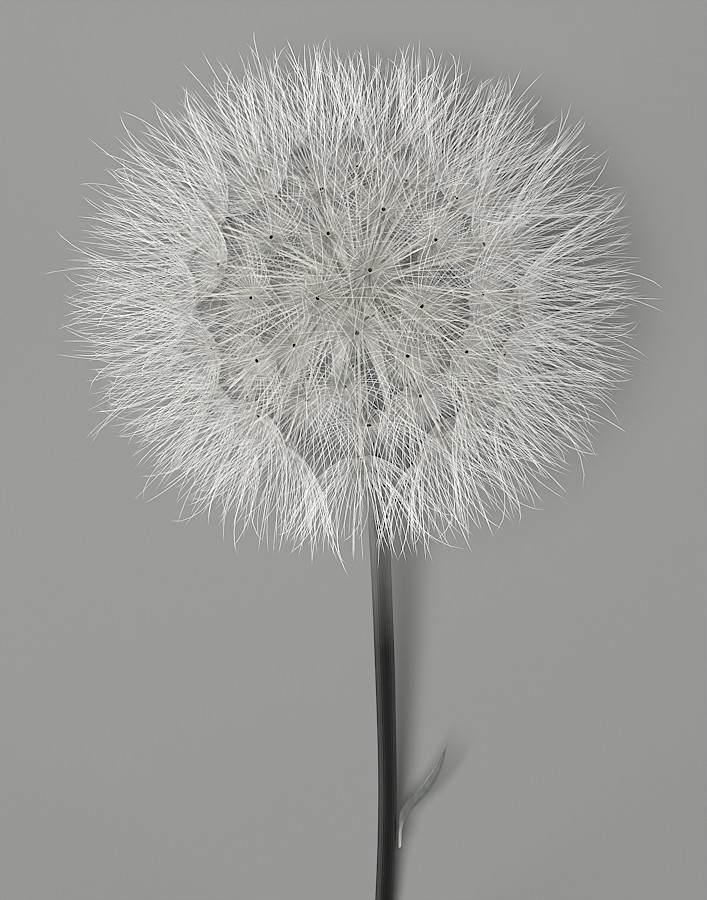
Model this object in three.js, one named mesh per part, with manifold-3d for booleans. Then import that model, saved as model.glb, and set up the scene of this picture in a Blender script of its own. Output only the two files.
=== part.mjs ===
// A ripe seed head of the goat's-beard kind of giant dandelion, picked with its stem and laid down.
//
// The plant's own frame has its origin in the middle of the receptacle and +Z along the head's axis,
// away from the stem. The plant lies in the world on the lower hairs of its head and on the cut end
// of its stem. Lengths are millimetres, angles degrees unless a name says otherwise.

import * as THREE from "three";
import { mergeVertices } from "three/addons/utils/BufferGeometryUtils.js";
import Module from "manifold-3d";

// ---------------------------------------------------------------- driving dimensions

const HEAD_WIDTH = 91; // across the ball of seeds
const HEAD_DEPTH = 75.4; // along the head's axis
const HUB_HEIGHT = 41.5; // middle of the receptacle over the ground: the hairs below are pressed flat
const STEM_SLOPE = 17; // fall of the stem from the head to its cut end
const HUB_X = 0.11; // place of the hub over the ground, with the middle of the box at the origin
const HUB_Y = 44.5;

const RECEPTACLE_WIDTH = 9.2;
const RECEPTACLE_RISE = 3.1; // over the middle
const RECEPTACLE_DROP = 1.9; // under the middle, down to the flat back

const LATTICE_SEEDS = 92; // spread evenly over the ball
const LATTICE_REACH = 139; // angle from the axis of the last of them
const WHORL_SEEDS = 8; // round the stem, one in each gap between two bracts
const WHORL_ANGLE = 149;
const FACING_SEEDS = [ // those in plain sight, as they stand: angle from the axis, angle around it
  [129, -32], [124, 36], [109.5, 4], [129, -58], [116.5, 66], [112.5, -57], [76.5, 0], [56.5, 5],
  [66, -14], [69.5, 22], [90, -33.5], [95, -4], [100.5, 21], [102, -17]];
const SPACING_ROUNDS = 30; // of moving the other seeds apart
const SPACING_PUSH = 0.0004;
const RIBS = 6; // bristles of each pappus, an even number
const APEX_DISTANCE = 27.2; // from the hub to where a pappus starts
const APEX_DIP = 0.14; // share that it starts sooner at the head's crown
const SHOULDER_WIDTH = 14; // of the pappus bell
const SHOULDER_RISE = 4.3;
const MOUTH_WIDTH = 27;
const LONG_RIBS = [0, 3]; // bristles of each pappus that outreach the rest
const LONG_RIB_REACH = 1.08;
const RIB_RADIUS = 0.32; // at the shoulder, running out to a point
const RIB_TAPER = 0.1; // share lost from the shoulder to where a pressed bristle meets the ground
const TOUCH_HEIGHT = 0.1; // of the bristles' middle where they lie on the ground
const LYING_EXTRA = 1.5; // least length that lies there
const NODE_RADIUS = 0.62; // the small knot that the bristles leave
const NODE_RISE = 0.8;
const ACHENE_RADIUS = 0.56;
const BEAK_RADIUS = 0.34;

const BRACTS = 8;
const BRACT_WIDTH = 2.2;
const BRACT_THICKNESS = 0.7;
const BRACT_ROUTE = [[2.2, -4.1], [4.8, -4.5], [7.6, -7.2], [10, -11], [12, -15.5]]; // radius, height
const COLLAR_TOP = -2.3;
const COLLAR_BOTTOM = -6.6;
const COLLAR_WIDTH = 8.6;

const STEM_WIDTH_TOP = 4.1;
const STEM_WIDTH = 3.2;
const STEM_GAP = 0.3; // left between two neighbouring solids
const STEM_SWAY = [0, 1.9, 3.5, 4.4, 5.05, 5.4, 5.0, 4.2]; // sideways, at equal steps down the stem
const STEM_FLAT = 0.12; // depth of the flat spot where the cut end rests

const LEAF_ROUTE = [ // x, z
  [7.6, -107.8], [7.85, -103.4], [9, -99.4], [11.7, -95.3], [14, -90.4], [15.5, -84.5]];
const LEAF_WIDTH = 2;
const LEAF_THICKNESS = 0.7;
const LEAF_LIFT = 2.2; // of its tip, out of the plane through the stem

const SEED_OF_CHANCE = 20;
const SHORTEST_EDGE = 0.002;

// ---------------------------------------------------------------- helpers

const radians = THREE.MathUtils.degToRad;
const SIDES = RIBS / 2; // of each stalk, so that every side of the knot carries one bristle
const UP = new THREE.Vector3(0, -Math.cos(radians(STEM_SLOPE)), Math.sin(radians(STEM_SLOPE)));

const wasm = await Module();
wasm.setup();

// A repeatable stream of numbers from 0 to 1.
function chance(seed) {
  let state = seed;
  return () => {
    state = (Math.imul(state, 1664525) + 1013904223) >>> 0;
    return state / 4294967296;
  };
}

function heightOverGround(point) {
  return HUB_HEIGHT + point.dot(UP);
}

// The ball's radius at an angle from the head's axis.
function ballRadius(angle) {
  return 1 / Math.hypot(Math.sin(angle) / (HEAD_WIDTH / 2), Math.cos(angle) / (HEAD_DEPTH / 2));
}

function direction(angle, around) {
  return new THREE.Vector3().setFromSphericalCoords(1, angle, around).applyAxisAngle(
    new THREE.Vector3(1, 0, 0), Math.PI / 2);
}

function closedGeometry(points, triangles) {
  const geometry = new THREE.BufferGeometry().setFromPoints(points);
  geometry.setIndex(triangles.flat());
  return geometry;
}

// Solid from a closed geometry: corners at the same place become one, and triangles that this
// leaves without area, as at the poles of a lathe, are dropped.
function solidOf(geometry) {
  const bare = geometry.clone().deleteAttribute("normal").deleteAttribute("uv");
  const merged = mergeVertices(bare);
  const index = merged.getIndex().array;
  const triangles = [];
  for (let i = 0; i < index.length; i += 3) {
    const corners = index.slice(i, i + 3);
    if (new Set(corners).size === 3) {
      triangles.push(...corners);
    }
  }
  return new wasm.Manifold(new wasm.Mesh({
    numProp: 3,
    vertProperties: merged.getAttribute("position").array,
    triVerts: Uint32Array.from(triangles),
  }));
}

function geometryOf(solid) {
  const mesh = solid.getMesh();
  const geometry = new THREE.BufferGeometry();
  geometry.setAttribute("position", new THREE.BufferAttribute(mesh.vertProperties, mesh.numProp));
  geometry.setIndex(new THREE.BufferAttribute(mesh.triVerts, 1));
  geometry.computeVertexNormals();
  return geometry;
}

// The joined solid without what lies below the ground, without edges too short to matter and without
// scraps that touch nothing.
function aboveGround(solid) {
  const depth = 40;
  const ground = new THREE.BoxGeometry(400, 400, depth);
  ground.applyMatrix4(new THREE.Matrix4().makeRotationFromQuaternion(
    new THREE.Quaternion().setFromUnitVectors(new THREE.Vector3(0, 0, 1), UP)));
  ground.translate(...UP.clone().multiplyScalar(-HUB_HEIGHT - depth / 2).toArray());
  const pieces = solid.subtract(solidOf(ground)).simplify(SHORTEST_EDGE).decompose();
  return pieces.reduce((largest, piece) => (piece.volume() > largest.volume() ? piece : largest));
}

// ---------------------------------------------------------------- seeds

// Gives each facing seed to the lattice direction nearest to it, and moves the others apart again.
// The whorl stays where it is.
function settle(directions) {
  const open = new Set(directions.slice(0, LATTICE_SEEDS));
  for (const [angle, around] of FACING_SEEDS) {
    const wanted = direction(radians(angle), radians(around));
    const nearest = [...open].reduce((best, own) => (own.dot(wanted) > best.dot(wanted) ? own : best));
    nearest.copy(wanted);
    open.delete(nearest);
  }
  for (let round = 0; round < SPACING_ROUNDS; round += 1) {
    for (const own of open) {
      const push = new THREE.Vector3();
      for (const other of directions) {
        const apart = own.clone().sub(other);
        push.addScaledVector(apart, own === other ? 0 : apart.length() ** -4);
      }
      own.addScaledVector(push, SPACING_PUSH).normalize();
    }
  }
}

// Where each seed points: an even lattice over the ball, then one whorl in the gaps of the bracts.
function seedPlaces() {
  const draw = chance(SEED_OF_CHANCE);
  const jitter = (size) => (draw() - 0.5) * 2 * size;
  const golden = Math.PI * (3 - Math.sqrt(5));
  const lowest = Math.cos(radians(LATTICE_REACH));
  const places = [];
  for (let i = 0; i < LATTICE_SEEDS; i += 1) {
    const angle = Math.acos(1 - ((i + 0.5) / LATTICE_SEEDS) * (1 - lowest));
    places.push({
      axis: direction(angle + jitter(0.035), i * golden + jitter(0.035 / Math.max(Math.sin(angle), 0.3))),
      apex: APEX_DISTANCE * (1 + jitter(0.03)),
      reach: 1 + jitter(0.035),
      turn: draw(),
    });
  }
  for (let i = 0; i < WHORL_SEEDS; i += 1) {
    places.push({
      axis: direction(radians(WHORL_ANGLE) + jitter(0.02), (i / WHORL_SEEDS) * 2 * Math.PI + jitter(0.04)),
      apex: APEX_DISTANCE * (1 + jitter(0.03)),
      reach: 1 + jitter(0.035),
      turn: draw(),
    });
  }
  settle(places.map((place) => place.axis));
  return places;
}

// The stalk's route from inside the receptacle to the pappus: a curve that leaves the receptacle's
// upper side and bends towards its place, so that the lowest seeds pass the collar in a wide bow.
function stalkRoute(place) {
  const angle = Math.acos(place.axis.z);
  const around = Math.atan2(place.axis.x, -place.axis.y);
  const root = direction(angle * 0.62, around);
  root.multiply(new THREE.Vector3(RECEPTACLE_WIDTH / 2, RECEPTACLE_WIDTH / 2, RECEPTACLE_RISE));
  const apexDistance = place.apex * (1 - APEX_DIP * Math.max(place.axis.z, 0) ** 2);
  const apex = place.axis.clone().multiplyScalar(apexDistance);
  const bow = direction(angle * 0.81, around).multiplyScalar(apexDistance * 0.36);
  return new THREE.QuadraticBezierCurve3(root.multiplyScalar(0.86), bow, apex);
}

// A bristle's route: out to the shoulder of the bell, then on to the surface of the ball. Where it
// would reach under the ground it bends there and lies along it.
function ribRoute(apex, outward, place, stretch) {
  const axis = place.axis;
  const surface = stretch * place.reach * ballRadius(Math.acos(axis.z));
  const length = Math.sqrt(surface ** 2 - (MOUTH_WIDTH / 2) ** 2) - apex.length();
  const shoulder = apex.clone()
    .addScaledVector(outward, SHOULDER_WIDTH / 2)
    .addScaledVector(axis, SHOULDER_RISE);
  const tip = apex.clone().addScaledVector(outward, MOUTH_WIDTH / 2).addScaledVector(axis, length);
  if (heightOverGround(tip) > TOUCH_HEIGHT) {
    return [shoulder, tip];
  }
  const fall = (heightOverGround(shoulder) - TOUCH_HEIGHT)
    / (heightOverGround(shoulder) - heightOverGround(tip));
  const touch = shoulder.clone().lerp(tip, fall);
  const along = tip.clone().sub(apex).addScaledVector(outward, length / 3).projectOnPlane(UP).normalize();
  const lying = shoulder.distanceTo(tip) * (1 - fall) + LYING_EXTRA;
  const end = touch.clone().addScaledVector(along, lying).addScaledVector(UP, -1.5 * TOUCH_HEIGHT);
  return [shoulder, touch, end];
}

// One seed: achene, beak and pappus in a single closed skin. The knot at the top of the beak is an
// antiprism, and each of its side triangles runs out into one three-sided bristle.
function seedGeometry(place) {
  const route = stalkRoute(place);
  const apex = route.getPoint(1);
  const axis = place.axis;
  const sideways = new THREE.Vector3(0, 0, 1).cross(axis).normalize().applyAxisAngle(
    axis, place.turn * Math.PI);
  const points = [];
  const triangles = [];

  const addRing = (centre, along, radius, turn) => {
    const first = points.length;
    const across = sideways.clone().projectOnPlane(along).normalize();
    const other = along.clone().cross(across);
    for (let i = 0; i < SIDES; i += 1) {
      const angle = ((i + turn) / SIDES) * 2 * Math.PI;
      points.push(centre.clone()
        .addScaledVector(across, radius * Math.cos(angle))
        .addScaledVector(other, radius * Math.sin(angle)));
    }
    return first;
  };

  const stalk = [[0, 0.45], [0.2, 1], [0.45, BEAK_RADIUS / ACHENE_RADIUS]].map(([share, width]) =>
    addRing(route.getPoint(share), route.getTangent(share), width * ACHENE_RADIUS, 0));
  stalk.push(addRing(apex, axis, NODE_RADIUS, 0));
  for (let i = 0; i < SIDES; i += 1) {
    const next = (i + 1) % SIDES;
    stalk.slice(1).forEach((upper, level) => {
      const lower = stalk[level];
      triangles.push([lower + i, lower + next, upper + next], [lower + i, upper + next, upper + i]);
    });
  }

  const low = stalk[stalk.length - 1];
  const high = addRing(apex.clone().addScaledVector(axis, NODE_RISE), axis, NODE_RADIUS, 0.5);
  for (let i = 1; i < SIDES - 1; i += 1) {
    triangles.push([stalk[0], stalk[0] + i + 1, stalk[0] + i], [high, high + i, high + i + 1]);
  }

  const addRib = (root, number) => {
    const pointsUp = number % 2 === 0;
    const middle = root.reduce((sum, corner) => sum.add(points[corner]), new THREE.Vector3())
      .divideScalar(3);
    const outward = middle.clone().sub(apex).projectOnPlane(axis).normalize();
    const side = axis.clone().cross(outward);
    const bends = ribRoute(apex, outward, place, LONG_RIBS.includes(number) ? LONG_RIB_REACH : 1);
    const tip = bends.pop();
    const stops = [middle, ...bends, tip];
    let lower = root;
    bends.forEach((bend, level) => {
      const radius = RIB_RADIUS * (1 - RIB_TAPER * level);
      const before = bend.clone().sub(stops[level]).normalize();
      const along = stops[level + 2].clone().sub(bend).normalize().add(before).normalize();
      const above = along.cross(side).multiplyScalar(pointsUp ? radius : -radius);
      const corner = (across, rise) => bend.clone()
        .addScaledVector(side, across * radius * Math.sqrt(0.75))
        .addScaledVector(above, rise);
      const upper = [0, 1, 2].map((step) => points.length + step);
      points.push(corner(-1, -0.5));
      points.push(...(pointsUp ? [corner(1, -0.5), corner(0, 1)] : [corner(0, 1), corner(1, -0.5)]));
      for (let i = 0; i < 3; i += 1) {
        const next = (i + 1) % 3;
        triangles.push([lower[i], lower[next], upper[next]], [lower[i], upper[next], upper[i]]);
      }
      lower = upper;
    });
    for (let i = 0; i < 3; i += 1) {
      triangles.push([lower[i], lower[(i + 1) % 3], points.length]);
    }
    points.push(tip);
  };
  for (let i = 0; i < SIDES; i += 1) {
    const next = (i + 1) % SIDES;
    addRib([low + i, low + next, high + i], 2 * i);
    addRib([high + i, low + next, high + next], 2 * i + 1);
  }
  return closedGeometry(points, triangles);
}

// Domed receptacle with a flat back.
function receptacleGeometry() {
  const profile = [new THREE.Vector2(0, -RECEPTACLE_DROP)];
  const steps = 5;
  profile.push(new THREE.Vector2(RECEPTACLE_WIDTH * 0.42, -RECEPTACLE_DROP));
  for (let i = 0; i < steps; i += 1) {
    const turn = (i / steps) * (Math.PI / 2);
    profile.push(new THREE.Vector2(
      (RECEPTACLE_WIDTH / 2) * Math.cos(turn), RECEPTACLE_RISE * Math.sin(turn)));
  }
  profile.push(new THREE.Vector2(0, RECEPTACLE_RISE));
  return new THREE.LatheGeometry(profile, 12).rotateX(Math.PI / 2);
}

function seedHeadGeometry() {
  const seeds = seedPlaces().map((place) => solidOf(seedGeometry(place)));
  const joined = wasm.Manifold.union([solidOf(receptacleGeometry()), ...seeds]);
  return geometryOf(aboveGround(joined));
}

// ---------------------------------------------------------------- bracts

// A flat blade along a route: full width near its foot and running out to a blunt point.
function bladeGeometry(curve, width, thickness, steps, widthAt, broadsideAt) {
  const blade = new THREE.BoxGeometry(1, 1, 1, 2, 1, steps);
  const position = blade.getAttribute("position");
  for (let i = 0; i < position.count; i += 1) {
    const share = position.getZ(i) + 0.5;
    const along = curve.getTangent(share);
    const across = broadsideAt(share).projectOnPlane(along).normalize();
    const through = along.clone().cross(across);
    const keel = (0.5 - Math.abs(position.getX(i))) * 0.5 * thickness;
    const place = curve.getPoint(share)
      .addScaledVector(across, position.getX(i) * width * widthAt(share))
      .addScaledVector(through, position.getY(i) * thickness - keel);
    position.setXYZ(i, ...place.toArray());
  }
  return blade;
}

function bractGeometry(around) {
  const outward = direction(Math.PI / 2, around);
  const route = BRACT_ROUTE.map(([radius, height]) =>
    outward.clone().multiplyScalar(radius).setZ(height));
  const curve = new THREE.CatmullRomCurve3(route);
  const broadsideAt = () => new THREE.Vector3(0, 0, 1).cross(outward);
  const widthAt = (share) => 0.12 + 0.88 * Math.sqrt(1 - share ** 2);
  return bladeGeometry(curve, BRACT_WIDTH, BRACT_THICKNESS, 6, widthAt, broadsideAt);
}

function involucreGeometry() {
  const collar = [[0, COLLAR_BOTTOM], [STEM_WIDTH_TOP * 0.55, COLLAR_BOTTOM],
    [COLLAR_WIDTH / 2, COLLAR_TOP - 1.1], [COLLAR_WIDTH * 0.47, COLLAR_TOP], [0, COLLAR_TOP]];
  const profile = collar.map(([radius, height]) => new THREE.Vector2(radius, height));
  const pieces = [new THREE.LatheGeometry(profile, 24).rotateX(Math.PI / 2)];
  for (let i = 0; i < BRACTS; i += 1) {
    pieces.push(bractGeometry(((i + 0.5) / BRACTS) * 2 * Math.PI));
  }
  return geometryOf(wasm.Manifold.union(pieces.map(solidOf)));
}

// ---------------------------------------------------------------- stem

const STEM_TOP = COLLAR_BOTTOM - STEM_GAP;
const slope = radians(STEM_SLOPE);
const STEM_FOOT = -(HUB_HEIGHT + STEM_FLAT - (STEM_WIDTH / 2) * Math.cos(slope)) / Math.sin(slope);

// How far the stem has swayed to the side at a height.
function stemSway(height) {
  const points = STEM_SWAY.map((sway, i) =>
    new THREE.Vector3(sway, 0, (STEM_FOOT * i) / (STEM_SWAY.length - 1)));
  return new THREE.CatmullRomCurve3(points).getPoint(height / STEM_FOOT).x;
}

function stemRadius(height) {
  const share = (STEM_TOP - height) / (STEM_TOP - STEM_FOOT);
  return STEM_WIDTH / 2 + ((STEM_WIDTH_TOP - STEM_WIDTH) / 2) * Math.exp(-share * 4);
}

function stemGeometry() {
  const steps = 22;
  const profile = [new THREE.Vector2(0, STEM_FOOT)];
  for (let i = 0; i <= steps; i += 1) {
    const height = STEM_FOOT + ((STEM_TOP - STEM_FOOT) * i) / steps;
    profile.push(new THREE.Vector2(stemRadius(height), height));
  }
  profile.push(new THREE.Vector2(0, STEM_TOP));
  const stem = new THREE.LatheGeometry(profile, 16).rotateX(Math.PI / 2);
  const position = stem.getAttribute("position");
  for (let i = 0; i < position.count; i += 1) {
    position.setX(i, position.getX(i) + stemSway(position.getZ(i)));
  }
  return geometryOf(aboveGround(solidOf(stem)));
}

// ---------------------------------------------------------------- leaf

// The one small leaf, which hugs the stem at its foot and swings out to a point.
function leafGeometry() {
  const last = LEAF_ROUTE.length - 1;
  const route = LEAF_ROUTE.map(([x, z], i) => new THREE.Vector3(x, -LEAF_LIFT * (i / last) ** 2, z));
  const widthAt = (share) => 0.9 * Math.sin(Math.PI * share ** 1.15) ** 0.9 + 0.2 * (1 - share) + 0.12;
  const broadsideAt = (share) => {
    const turned = THREE.MathUtils.smoothstep(share, 0.16, 0.44);
    return new THREE.Vector3(0, 1, 0).lerp(new THREE.Vector3(1, 0, 0.4), turned);
  };
  return bladeGeometry(
    new THREE.CatmullRomCurve3(route), LEAF_WIDTH, LEAF_THICKNESS, 14, widthAt, broadsideAt);
}

// ---------------------------------------------------------------- assembly

function part(name, geometry, color, roughness) {
  const mesh = new THREE.Mesh(geometry, new THREE.MeshStandardMaterial({ color, roughness, metalness: 0 }));
  mesh.name = name;
  return mesh;
}

const plant = new THREE.Group();
plant.add(part("seed_head", seedHeadGeometry(), 0xe9e6de, 0.8));
plant.add(part("involucre", involucreGeometry(), 0x8f9078, 0.7));
plant.add(part("stem", stemGeometry(), 0x4d5347, 0.6));
plant.add(part("leaf", leafGeometry(), 0x84897a, 0.6));
plant.rotation.x = slope - Math.PI / 2;
plant.position.set(HUB_X, HUB_Y, HUB_HEIGHT);

const seedHead = new THREE.Group();
seedHead.add(plant);

export default seedHead;
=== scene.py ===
"""Looks of the dandelion seed head: a big goat's-beard clock, picked with its stem and laid down.

Everything is worked out in millimetres in the plant's own frame, with the middle of the receptacle at the
origin and +Z along the head's axis away from the stem, and put into the world's metres at the end.
"""

import math
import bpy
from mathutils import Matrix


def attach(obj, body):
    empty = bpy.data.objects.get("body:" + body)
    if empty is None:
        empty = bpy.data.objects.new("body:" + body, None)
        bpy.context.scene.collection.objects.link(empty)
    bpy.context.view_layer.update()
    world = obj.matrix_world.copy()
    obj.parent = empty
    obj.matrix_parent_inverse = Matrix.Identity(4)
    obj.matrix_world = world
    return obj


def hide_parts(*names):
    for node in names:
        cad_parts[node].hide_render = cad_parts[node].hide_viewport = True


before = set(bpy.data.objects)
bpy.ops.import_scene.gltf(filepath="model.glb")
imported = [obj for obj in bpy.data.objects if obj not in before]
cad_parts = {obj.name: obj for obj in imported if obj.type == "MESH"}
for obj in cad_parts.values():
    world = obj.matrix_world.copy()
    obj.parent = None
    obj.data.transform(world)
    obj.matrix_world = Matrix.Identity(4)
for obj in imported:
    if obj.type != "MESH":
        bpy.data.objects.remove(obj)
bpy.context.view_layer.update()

from types import SimpleNamespace

import bpy
import numpy as np
from bpy.props import FloatProperty, FloatVectorProperty, IntProperty, PointerProperty
from bpy.types import Operator, Panel, PropertyGroup
from mathutils import Matrix, Vector

bl_info = {
    "name": "Dandelion seed head",
    "version": (1, 0, 0),
    "blender": (4, 5, 0),
    "location": "3D View > Sidebar > Seed head",
    "description": "Grows a laid-down seed head with its plumed seeds, bracts, stem and leaf",
    "category": "Add Mesh",
}

BODY = "root"
MM = 0.001
HAIR_MAP = "OFBake"  # the strand map: along each hair in u, one of the shade strips in v
STRIPS = 64
WHITE = (1, 1, 1, 1)  # as a tint it changes nothing
UP = np.array([0, 0, 1])
GOLDEN_TURN = math.pi * (3 - math.sqrt(5))
ACHENE_CHANCE, PAPPUS_CHANCE, BRACT_CHANCE = 7, 11, 3  # seeds of the small irregularities
# the seeds in plain sight, as they stand: degrees from the head's axis, and around it
FACING_SEEDS = [
    (129, -32), (124, 36), (109.5, 4), (129, -58), (116.5, 66), (112.5, -57), (76.5, 0), (56.5, 5),
    (66, -14), (69.5, 22), (90, -33.5), (95, -4), (100.5, 21), (102, -17),
]
# each kind of hair: points along it, the power of its taper and the share of its width left at the tip, and
# the strips of shade that it may take, from dull to bright; the dull strips of the fine hairs are painted
# shade, which darkens the web between the bristles and the inside of the head
HAIRS = {
    "bristle": SimpleNamespace(points=13, taper=(1.0, 0.45), shades=(52, STRIPS)),
    "felt": SimpleNamespace(points=4, taper=(0.6, 0.2), shades=(18, 40)),
    "barb": SimpleNamespace(points=3, taper=(0.6, 0.2), shades=(0, 14)),
    "plume": SimpleNamespace(points=5, taper=(0.7, 0.2), shades=(4, 36)),
}
WISP_TAPER = (1.0, 0.65)  # of the bristles that reach past the rest
HAIR_SIDES = 3
BRISTLE_START = 0.3  # mm from the pappus' axis


def linear(hex_colour):
    """sRGB hex to the linear RGBA that the sockets take."""
    shares = [int(hex_colour[i : i + 2], 16) / 255 for i in (1, 3, 5)]
    return (*[c / 12.92 if c <= 0.04045 else ((c + 0.055) / 1.055) ** 2.4 for c in shares], 1.0)


# ---- sizes and colours


def length(name, description, millimetres):
    return FloatProperty(name=name, description=description, default=millimetres * MM, unit="LENGTH", min=0)


def angle(name, description, degrees):
    return FloatProperty(name=name, description=description, default=math.radians(degrees), subtype="ANGLE")


def share(name, description, default):
    return FloatProperty(name=name, description=description, default=default, subtype="FACTOR", min=0)


def number(name, description, default):
    return IntProperty(name=name, description=description, default=default, min=0)


def colour(name, description, hex_colour):
    return FloatVectorProperty(
        name=name, description=description, default=linear(hex_colour), size=4, subtype="COLOR", min=0, max=1
    )


class LyingPlace(PropertyGroup):
    slope: angle("Slope", "Fall of the stem from the head to its cut end", 17)
    hub_height: length("Hub height", "Middle of the receptacle over the ground", 41.5)
    hub_x: length("Hub X", "Place of the hub across the plant", 0.11)
    hub_y: length("Hub Y", "Place of the hub along the plant", 44.5)


class HeadSizes(PropertyGroup):
    width: length("Width", "Across the ball of seeds", 91)
    depth: length("Depth", "Along the head's axis", 75.4)
    lattice_seeds: number("Lattice seeds", "Seeds spread evenly over the ball", 92)
    lattice_reach: angle("Lattice reach", "Angle from the axis of the last of them", 139)
    whorl_seeds: number("Whorl seeds", "Seeds round the stem, one in each gap between bracts", 8)
    whorl_angle: angle("Whorl angle", "Angle from the axis of the seeds round the stem", 149)
    spacing_rounds: number("Spacing rounds", "Rounds of moving the hidden seeds apart", 30)
    spacing_push: share("Spacing push", "How hard they push each other in a round", 0.0004)
    apex_distance: length("Pappus start", "From the hub to where a pappus starts", 27.2)
    apex_dip: share("Crown dip", "Share that it starts sooner at the head's crown", 0.14)
    receptacle_width: length("Receptacle width", "Across the dome that bears the seeds", 9.2)
    receptacle_rise: length("Receptacle rise", "Height of that dome over its middle", 3.1)
    receptacle_drop: length("Receptacle drop", "Depth of its flat back under its middle", 1.9)
    achene_width: length("Achene width", "Across the ribbed fruit", 0.64)
    beak_width: length("Beak width", "Across the thin beak that carries the pappus", 0.31)
    disc_width: length("Pappus disc width", "Across the small disc at the top of the beak", 0.86)
    chance: number("Chance", "Seed of the small irregularities in the seeds' places", 20)


class PappusSizes(PropertyGroup):
    # the fine hairs are fewer and thicker than life, so that they show in the picture
    bristles: number("Bristles", "Main bristles of a pappus", 33)
    felt_hairs: number("Felt hairs", "Fine hairs that fan out over the dome", 560)
    barbs: number("Barbs", "Short side hairs that weave the bristles together", 210)
    plume_hairs: number("Plume hairs", "Long hairs that run on towards the tips", 70)
    wisps: number("Wisps", "Bristles that reach past the rest and curl", 7)
    bristle_width: length("Bristle width", "Thickness of a bristle at its root", 0.105)
    felt_width: length("Felt hair width", "Thickness of a felt hair", 0.03)
    barb_width: length("Barb width", "Thickness of a side hair", 0.023)
    plume_width: length("Plume hair width", "Thickness of a long hair", 0.03)
    web_share: share("Web share", "How far along the bristles the web of barbs reaches", 0.95)
    dome_curve: length("Dome curve", "Radius of the bell's curve at its disc", 6.2)
    steepest: angle("Steepest lean", "Lean that the bristles near, far out from the disc", 72)
    pieces: number("Pieces", "Pieces that the pappi are shared out over", 10)


class InvolucreSizes(PropertyGroup):
    bracts: number("Bracts", "Green bracts under the head", 8)
    bract_width: length("Bract width", "Widest, near the foot", 2.2)
    bract_thickness: length("Bract thickness", "At the keel", 0.42)
    collar_width: length("Collar width", "Across the collar under the receptacle", 8.6)
    collar_top: length("Collar top", "Depth of the collar's top under the hub", 2.3)
    collar_bottom: length("Collar bottom", "Depth of the collar's lower end under the hub", 6.6)


class StemSizes(PropertyGroup):
    width: length("Stem width", "Across the stem", 3.2)
    top_width: length("Stem width at the head", "Across the stem under the collar", 4.1)
    gap: length("Gap", "Left between the stem and the collar", 0.3)
    ribs: number("Ribs", "Fine ribs along the stem", 26)


class LeafSizes(PropertyGroup):
    width: length("Leaf width", "Widest", 2.0)
    thickness: length("Leaf thickness", "At the midrib", 0.24)
    lift: length("Leaf lift", "Of the tip, out of the plane through the stem", 2.2)


class Colours(PropertyGroup):
    hair: colour("Hair", "Silky pappus hair", "#f2f1ed")
    # painted shade: the fine hairs take this dark shade, which darkens the web between the bristles and the
    # head's inside
    dull_hair: colour("Dull hair", "The least bright of the hairs", "#4b4b49")
    bristle_root: colour("Bristle root", "Bristles near the disc", "#cfccc4")
    achene: colour("Achene", "Ribbed fruit", "#a8a498")
    achene_tint: colour("Achene tint", "Tint of the dullest of the fruits", "#dddad4")
    beak: colour("Beak", "Thin beak of the fruit", "#dedbd3")
    disc: colour("Disc", "Rim of the small disc under the pappus", "#aea99c")
    disc_middle: colour("Disc middle", "Sunken middle of that disc", "#35322e")
    receptacle: colour("Receptacle", "Pithy dome", "#d6d3ca")
    bract: colour("Bract", "Withered green bract", "#c2c1ba")
    bract_edge: colour("Bract edge", "Dry margin of a bract", "#d8d7d0")
    stem: colour("Stem", "Green stem", "#0e0f0d")
    stem_top: colour("Stem at the head", "Paler neck of the stem", "#5f605d")
    pith: colour("Pith", "Cut end of the stem", "#c3c2ae")
    leaf: colour("Leaf", "Blade of the leaf", "#62645f")
    leaf_rib: colour("Leaf rib", "Pale midrib and foot of the leaf", "#a9aaa6")
    floor: colour("Floor", "Plain pale floor", "#7a7a79")


class Studio(PropertyGroup):
    distance: length("Camera distance", "From the hub to the camera", 450)
    lens: FloatProperty(name="Lens", description="Focal length in mm on a sensor 36 mm high", default=112.5)
    tilt: angle("Camera tilt", "Of the camera's place from straight over the hub, away from the stem", 8)
    drop: length("Aim drop", "How far under the hub the camera aims", 24.5)
    side: length("Aim side", "How far left of the hub the camera aims", 0.56)


GROUPS = {
    "place": LyingPlace,
    "head": HeadSizes,
    "pappus": PappusSizes,
    "involucre": InvolucreSizes,
    "stem": StemSizes,
    "leaf": LeafSizes,
    "colours": Colours,
    "studio": Studio,
}


class SeedHeadSettings(PropertyGroup):
    __annotations__ = {key: PointerProperty(type=group) for key, group in GROUPS.items()}


def in_mm(group):
    """The numbers of a property group, with its lengths turned to millimetres."""
    values = SimpleNamespace()
    for key in group.__annotations__:
        value = getattr(group, key)
        kind = group.bl_rna.properties[key]
        setattr(values, key, value / MM if getattr(kind, "unit", "") == "LENGTH" else value)
    return values


def settings_of(context, *keys):
    """The colours, and the numbers in millimetres of some of the other groups."""
    settings = context.scene.seed_head
    return settings.colours, *[in_mm(getattr(settings, key)) for key in keys]


# ---- the plant's frame


def laid_down(points, place):
    """From the plant's frame, turned about X, to where the plant lies."""
    lean = place.slope - math.pi / 2
    cos, sin = math.cos(lean), math.sin(lean)
    x, y, z = np.moveaxis(points, -1, 0)
    turned = np.stack((x, cos * y - sin * z, sin * y + cos * z), axis=-1)
    return turned + (place.hub_x, place.hub_y, place.hub_height)


def unit(vectors):
    return vectors / np.maximum(np.linalg.norm(vectors, axis=-1, keepdims=True), 1e-12)


def direction(tilt, around):
    """Unit direction in the plant's frame."""
    flat = math.sin(tilt)
    return np.array([flat * math.sin(around), -flat * math.cos(around), math.cos(tilt)])


def turns(count):
    """Equal steps once round."""
    return np.arange(count) / count * math.tau


def outward(turn):
    """Unit directions straight out from the head's axis."""
    return np.stack((np.sin(turn), -np.cos(turn), 0 * turn), -1)


def eased(low, high, value):
    """0 under low, 1 over high, and a smooth rise between them."""
    part = np.clip((value - low) / (high - low), 0, 1)
    return part * part * (3 - 2 * part)


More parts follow.
